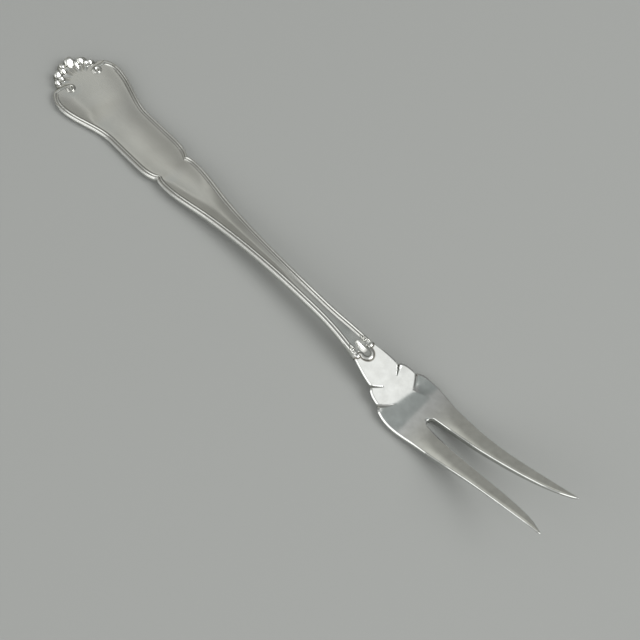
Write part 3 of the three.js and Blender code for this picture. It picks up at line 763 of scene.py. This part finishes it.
def buildHead(s):
    shoulder = edgeLine(s["start"], glide(s["start"], s["firstNotch"], s["startSlope"], 0, 80),
                        spring(s["firstNotch"], s["secondNotch"], 44),
                        spring(s["secondNotch"], s["heel"], 44))
    rootSlope, pointSlope = s["tineSlopes"]
    tineEdge = edgeLine(s["heel"], glide(s["heel"], s["tineRoot"], 0, rootSlope, 200),
                        glide(s["tineRoot"], s["tineTaper"], rootSlope, 0, 200),
                        glide(s["tineTaper"], s["point"], 0, pointSlope, 200))
    slopes = s["slotSlopes"]
    slotEdge = edgeLine(s["slotEnd"], spring(s["slotEnd"], s["slotRoot"], 24),
                        glide(s["slotRoot"], s["slotMiddle"], slopes[0], slopes[1], 30),
                        glide(s["slotMiddle"], s["slotLate"], slopes[1], slopes[2], 26),
                        glide(s["slotLate"], s["slotPoint"], slopes[2], slopes[3], 26))

    # Rows of points from the middle line or the slot to the outer edge
    heelX = np.linspace(s["heel"][0], s["slotEnd"][0], 17)[1:-1]
    slotRow = len(shoulder) + len(heelX)
    edgeX = np.r_[shoulder[:, 0], heelX, slotEdge[:, 0]][:, None]
    tineY = np.interp(edgeX[len(shoulder):, 0], tineEdge[:, 0], tineEdge[:, 1])
    outerY = np.r_[shoulder[:, 1], tineY][:, None]
    innerY = np.r_[np.zeros(slotRow), slotEdge[:, 1]][:, None]
    onTines = np.arange(len(edgeX))[:, None] >= slotRow
    u = (1 - np.cos(np.linspace(0, math.pi, s["columns"] + 1))) / 2
    y = innerY + (outerY - innerY) * u
    sweep, over = s["cutSweep"]
    swept = sweep * ease(edgeX, *s["sweepBegins"]) * (1 - ease(edgeX, *s["sweepEnds"]))
    x = edgeX + swept * (1 - np.exp(-(outerY - y) / over))

    # The points of the tines round off over their last stretch
    tipFrom, tipLength, tipClosed = s["tipRound"]
    tip = np.clip((x - tipFrom) / tipLength, 0, 1)
    shrink = np.sqrt(np.clip(1 - tipClosed * tip ** 2, 0, 1))
    middleY = (outerY + innerY) / 2
    y = middleY + (y - middleY) * shrink
    tineWidth = np.where(onTines, outerY - innerY, farAway)
    gapOuter = outerY - y
    gapInner = np.where(onTines, y - innerY, farAway)
    aroundEnd = np.hypot(x - s["slotRoot"][0], y) - s["slotRoot"][1]
    gapInner = np.where(x < s["slotRoot"][0], np.maximum(aroundEnd, 0), gapInner)

    # The front: crowned tines, bevelled edges and leaf cuts
    outerBevel = np.minimum(along(s["bevel"], x), s["bevelLimit"] * tineWidth) - gapOuter
    slotBevel = np.minimum(along(s["slotBevel"], x), s["bevelLimit"] * tineWidth) - gapInner
    tineShare = np.clip(np.abs(y - middleY) * 2 / (outerY - innerY), 0, 1)
    top = frontAt(x) - s["tineCrown"] * tineShare ** 2 * ease(x, *s["crownBegins"])
    top -= along(s["bevelSlope"], x) * np.maximum(0, np.maximum(outerBevel, slotBevel))
    flat = np.c_[x.ravel(), y.ravel()]
    # Painted shadow beside the lap's edge, then tarnish in the leaf cuts
    tarnishAndShade = edgeShade(fromLine(flat, lapLine(handleSizes))[0], *s["lapShadow"])
    cutStart, cutShare = s["cutLine"]
    cutFade, cutNarrow = s["cutFade"]
    for cutX, cutY, length, depth, width, edgeHeight, edgeReach in s["cuts"]:
        inward = np.linspace(-cutStart, length * cutShare, 30)
        line = np.c_[cutX + sweep * (1 - np.exp(-inward / over)), cutY - inward]
        away, reach = fromLine(flat, line)
        fade = np.clip(1 - reach, 0, 1) ** cutFade
        across = away / (width * (cutNarrow + (1 - cutNarrow) * fade))
        cut = fade * np.clip(1 - across, 0, 1) ** s["cutSharpness"]
        tineSide = flat[:, 0] > np.interp(flat[:, 1], line[::-1, 1], line[::-1, 0])
        leaf = edgeHeight * fade * np.exp(-away / edgeReach) * ease(away, 0, s["leafEdge"]) * tineSide
        top += (leaf - depth * cut).reshape(x.shape)
        tarnishAndShade = np.maximum(tarnishAndShade, cut)

    # The back: rounded, and flat where it rests
    def rounding(gap, radius):
        r = np.minimum(radius, s["roundLimit"] * tineWidth)
        return r * rollOff(np.clip(1 - gap / r, 0, 1))

    thick = thicknessAt(x)
    share = np.clip(y / outerY, 0, 1)
    low = frontAt(x) - thick + (thick - s["wallTop"] - along(s["wall"], x)) * share ** 2
    low += np.maximum(rounding(gapOuter, s["backRound"]), rounding(gapInner, s["slotBackRound"]))
    low = np.maximum(low, forkBody["restFlat"])
    centreZ = (top + low) / 2
    low = np.minimum(low, top - s["thinnest"])
    top = centreZ + (top - centreZ) * shrink
    low = centreZ + (low - centreZ) * shrink

    # Front and back, and walls between them along the outer edge, the slot and the two ends
    number = x.size
    index = np.arange(number).reshape(x.shape)
    points = np.vstack([np.dstack([x, y, top]).reshape(-1, 3), np.dstack([x, y, low]).reshape(-1, 3)])
    lines = (index[:, -1], index[slotRow:, 0], index[0], index[-1])
    midWalls = []
    for line in lines:
        wall = (points[line] + points[line + number]) / 2
        midWalls.append(len(points) + np.arange(len(line)))
        points = np.vstack([points, wall])
    outerMid, slotMid, startMid, pointMid = midWalls
    startMid[-1] = outerMid[0]
    pointMid[0] = slotMid[-1]
    pointMid[-1] = outerMid[-1]

    def strip(a, b):
        return np.stack([a[:-1], a[1:], b[1:], b[:-1]], axis=-1)

    faces = [sheet(index), sheet(index + number)[:, ::-1]]
    for line, mid, turned in zip(lines, midWalls, (1, -1, 1, -1)):
        faces.append(strip(line, mid)[:, ::turned])
        faces.append(strip(mid, line + number)[:, ::turned])
    faces = np.vstack(faces)
    groove = np.zeros(len(points))
    groove[:number] = tarnishAndShade
    # Tarnish and painted shade on the slot's walls
    groove[slotMid] = s["slotWallTarnishAndShade"]
    groove[lines[1] + number] = s["slotWallTarnishAndShade"]
    crest = np.zeros(len(points))
    crest[:number] = np.clip(1 - np.minimum(gapOuter, gapInner) / s["edgeRubbed"], 0, 1).ravel()

    # Join the two halves along the middle line
    both = np.vstack([points, points * [1, -1, 1]])
    onLine = np.flatnonzero(np.abs(points[:, 1]) < 1e-9)
    joined = np.arange(len(both))
    joined[len(points) + onLine] = onLine
    faces = joined[np.vstack([faces, faces[:, ::-1] + len(points)])]
    used, compact = np.unique(faces, return_inverse=True)
    corners = [list(dict.fromkeys(face)) for face in compact.reshape(faces.shape).tolist()]
    corners = [face for face in corners if len(face) > 2]
    marks = {"groove": np.r_[groove, groove][used], "crest": np.r_[crest, crest][used]}
    return makePiece("fork_head_silver", both[used], corners, marks)


head = buildHead(headSizes)
head.data.set_sharp_from_angle(angle=math.radians(headSizes["sharpAngle"]))
print("head built, %d faces" % len(head.data.polygons))

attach(handle, "root")
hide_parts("handle")
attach(head, "root")
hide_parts("fork_head")


def linear(hexColour):
    channels = [int(hexColour[k:k + 2], 16) / 255 for k in (1, 3, 5)]
    return [c / 12.92 if c <= 0.04045 else ((c + 0.055) / 1.055) ** 2.4 for c in channels] + [1]


def addNode(tree, kind, inputs=None, **settings):
    node = tree.nodes.new("ShaderNode" + kind)
    for name, value in settings.items():
        setattr(node, name, value)
    for socket, value in (inputs or {}).items():
        if isinstance(value, bpy.types.NodeSocket):
            tree.links.new(value, node.inputs[socket])
        else:
            node.inputs[socket].default_value = value
    return node


def perMetre(millimetres):
    return 1000 / millimetres


# Old table silver. Struck, worn and wiped for years: a soft grey satin in the flats, brightest where
# hands and cloths rub the raised threads, and grey in the grooves where they can't reach. The same grey
# paints shade on the shell's rim, the lap's edge, the scrolls and the lobes' flanks.
satinSilver = {
    "clean": "#e8e9e4",
    "tarnishAndShade": "#84847b",
    "satinRoughness": 0.2,
    "rubbedRoughness": 0.12,
    "cloudSize": 6.0,
    "cloudDepth": 0.12,
    "scratchSpacing": 0.12,
    "scratchDepth": 0.004,
}
# The head is polished with a buff: nearly mirror bright, with the buff's fine marks left in it.
polishedSilver = {
    "clean": "#e6e8e4",
    # tarnish, and painted shadow along the lap and painted shade on the slot's walls
    "tarnishAndShade": "#75726a",
    "satinRoughness": 0.07,
    "rubbedRoughness": 0.07,
    "cloudSize": 1.8,
    "cloudDepth": 0.16,
    "scratchSpacing": 0.25,
    "scratchDepth": 0.002,
}
# Solder is duller and a little yellower than the silver it joins.
solderSilver = {**satinSilver, "clean": "#cfccc4", "satinRoughness": 0.4}
# The same on all of it
silverWear = {
    "grooveDark": 0.92,  # share of the tarnish colour in a groove and in painted shade
    "unevenRoughness": 0.02,
    "scratchStretch": (0.08, 1, 1),  # scratches run along the fork
    "scratchStrength": 0.35,
}


def silver(name, look):
    material = bpy.data.materials.new(name)
    material.use_nodes = True
    tree = material.node_tree
    tree.nodes.clear()
    place = addNode(tree, "TexCoord").outputs["Object"]
    crest = addNode(tree, "Attribute", attribute_name="crest").outputs["Fac"]
    # The groove mark carries tarnish and also painted shade: shell rim, lap edge, slot walls, scrolls, lobe
    # flanks
    groove = addNode(tree, "Attribute", attribute_name="groove").outputs["Fac"]
    clouds = addNode(tree, "TexNoise", {"Vector": place, "Scale": perMetre(look["cloudSize"]), "Detail": 5})
    stretch = addNode(tree, "Mapping", {"Vector": place, "Scale": silverWear["scratchStretch"]})
    marks = addNode(tree, "TexNoise", {"Vector": stretch.outputs[0], "Detail": 3,
                                       "Scale": perMetre(look["scratchSpacing"])})

    def spread(noise, low, high):
        return addNode(tree, "MapRange", {"Value": noise.outputs["Fac"], "From Min": 0.3, "From Max": 0.7,
                                          "To Min": low, "To Max": high})

    cloudy = spread(clouds, 0.0, look["cloudDepth"])
    dull = addNode(tree, "Math", {0: groove, 1: silverWear["grooveDark"]}, operation="MULTIPLY")
    dirtAndShade = addNode(tree, "Math", {0: dull.outputs[0], 1: cloudy.outputs[0]}, operation="ADD",
                   use_clamp=True)
    colour = addNode(tree, "Mix", {"Factor": dirtAndShade.outputs[0], "A": linear(look["clean"]),
                                   "B": linear(look["tarnishAndShade"])}, data_type="RGBA")
    rubbed = addNode(tree, "MapRange", {"Value": crest, "To Min": look["satinRoughness"],
                                        "To Max": look["rubbedRoughness"]})
    uneven = spread(marks, -silverWear["unevenRoughness"], silverWear["unevenRoughness"])
    rough = addNode(tree, "Math", {0: rubbed.outputs[0], 1: uneven.outputs[0]}, operation="ADD")
    bump = addNode(tree, "Bump", {"Height": marks.outputs["Fac"], "Strength": silverWear["scratchStrength"],
                                  "Distance": look["scratchDepth"] / 1000})
    shader = addNode(tree, "BsdfPrincipled", {"Base Color": colour.outputs["Result"], "Metallic": 1.0,
                                              "Roughness": rough.outputs[0], "Normal": bump.outputs[0]})
    addNode(tree, "OutputMaterial", {"Surface": shader.outputs[0]})
    return material


handle.data.materials.append(silver("satin_silver", satinSilver))
head.data.materials.append(silver("polished_silver", polishedSilver))
solderMaterial = silver("silver_solder", solderSilver)
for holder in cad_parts["neck_solder"].material_slots:
    holder.material = solderMaterial
print("silver done")

# Plain pale table, matt all over
tableLook = {"colour": "#abadaa", "size": 6.0, "roughness": 0.9}
side = tableLook["size"] / 2
tableMesh = bpy.data.meshes.new("table_top")
tableCorners = [(-side, -side, 0), (side, -side, 0), (side, side, 0), (-side, side, 0)]
tableMesh.from_pydata(tableCorners, [], [(0, 1, 2, 3)])
table = bpy.data.objects.new("table_top", tableMesh)
bpy.context.collection.objects.link(table)
tableMaterial = bpy.data.materials.new("matt_table")
tableMaterial.use_nodes = True
tableShader = tableMaterial.node_tree.nodes["Principled BSDF"]
tableShader.inputs["Base Color"].default_value = linear(tableLook["colour"])
tableShader.inputs["Roughness"].default_value = tableLook["roughness"]
table.data.materials.append(tableMaterial)

# Soft studio light: an even room, dimmer on its far side, with four plain panels
lights = {
    "near": 0.55,
    "far": 0.27,
    "farSide": ((0, -0.95, 0.3), -0.11, 0.0),  # direction away from it, all dim below and all bright above
    # dimmer or brighter patches of the room: towards, from and full within so many degrees, colour, and
    # the planes that give them straight edges
    "shades": [
        ((-0.2, 0.31, 0.93), 26, 12, (0.66, 0.70, 0.70, 1),
         [(0.394, -0.805, 0.443), (-0.445, -0.85, 0.279)]),
        ((-0.8, -0.1, 0.6), 28, 20, (0.46, 0.46, 0.45, 1), [(0, -0.966, 0.256)]),
        ((-0.87, 0.33, 0.37), 42, 20, (1.16, 1.15, 1.08, 1), []),
    ],
    "shadeEdge": (-0.005, 0.01),
    # centre in metres, which way its back faces, turn, width, height, brightness as seen in the silver
    "panels": [
        ("overhead", (0.46, 0.43, 1.0), (0, 0, 1), -27.6, 0.9, 0.6, 0.52),
        ("left", (-0.13, -0.945, 0.694), (-0.11, -0.8, 0.588), 0, 0.9, 0.86, 1.05),
        ("low", (-0.82, -0.726, 0.425), (-0.695, -0.615, 0.36), 0, 0.22, 0.22, 0.8),
        ("front", (0.85, 0.36, 0.95), (0.66, 0.28, 0.70), 0, 0.75, 0.8, 4.6),
    ],
}
world = bpy.data.worlds.new("room")
world.use_nodes = True
tree = world.node_tree
tree.nodes.clear()
heading = addNode(tree, "TexCoord").outputs["Generated"]


# How far the heading has turned towards a direction, eased from low to high
def turnedTo(direction, start, end, low=0.0, high=1.0):
    facing = addNode(tree, "VectorMath", {0: heading, 1: direction}, operation="DOT_PRODUCT")
    return addNode(tree, "MapRange", {"Value": facing.outputs["Value"], "From Min": start, "From Max": end,
                                      "To Min": low, "To Max": high}, interpolation_type="SMOOTHSTEP")


level = turnedTo(*lights["farSide"], lights["far"], lights["near"])
tint = (1, 1, 1, 1)
for patch, outerAngle, innerAngle, shadeColour, edges in lights["shades"]:
    shaded = turnedTo(Vector(patch).normalized(), math.cos(math.radians(outerAngle)),
                      math.cos(math.radians(innerAngle)))
    for edge in edges:
        pastEdge = turnedTo(edge, *lights["shadeEdge"])
        shaded = addNode(tree, "Math", {0: shaded.outputs[0], 1: pastEdge.outputs[0]}, operation="MULTIPLY")
    tint = addNode(tree, "Mix", {"Factor": shaded.outputs[0], "A": tint, "B": shadeColour},
                   data_type="RGBA", blend_type="MULTIPLY").outputs["Result"]
room = addNode(tree, "Background", {"Color": tint, "Strength": level.outputs[0]})
addNode(tree, "OutputWorld", {"Surface": room.outputs[0]})
bpy.context.scene.world = world
for name, place, facingTo, turn, sizeX, sizeY, brightness in lights["panels"]:
    lamp = bpy.data.lights.new(name, "AREA")
    lamp.shape = "RECTANGLE"
    lamp.size = sizeX
    lamp.size_y = sizeY
    lamp.energy = math.pi * sizeX * sizeY * brightness
    lightPanel = bpy.data.objects.new(name, lamp)
    lightPanel.location = place
    lightPanel.rotation_mode = "QUATERNION"
    turned = Quaternion((0, 0, 1), math.radians(turn))
    lightPanel.rotation_quaternion = Vector(facingTo).to_track_quat("Z", "Y") @ turned
    bpy.context.collection.objects.link(lightPanel)
print("room and lights done")

# Camera at the viewing angle of the picture
view = {
    "azimuth": 47.934,
    "elevation": 63.006,
    "distance": 293.21,
    "target": (90.55, -1.26, 3.0),
    "lens": 78.75,
    "sensor": 36,
    "nearest": 0.01,
}
azimuth = math.radians(view["azimuth"])
elevation = math.radians(view["elevation"])
back = Vector((math.sin(azimuth) * math.cos(elevation), -math.cos(azimuth) * math.cos(elevation),
               math.sin(elevation)))
target = (Vector(view["target"]) + Vector((tipX, 0, 0))) / 1000
cameraData = bpy.data.cameras.new("camera")
cameraData.lens = view["lens"]
cameraData.sensor_width = view["sensor"]
cameraData.clip_start = view["nearest"]
camera = bpy.data.objects.new("camera", cameraData)
camera.location = target + back * view["distance"] / 1000
camera.rotation_mode = "QUATERNION"
camera.rotation_quaternion = back.to_track_quat("Z", "Y")
bpy.context.collection.objects.link(camera)
bpy.context.scene.camera = camera
bpy.context.scene.view_settings.view_transform = "Standard"

print("scene done")
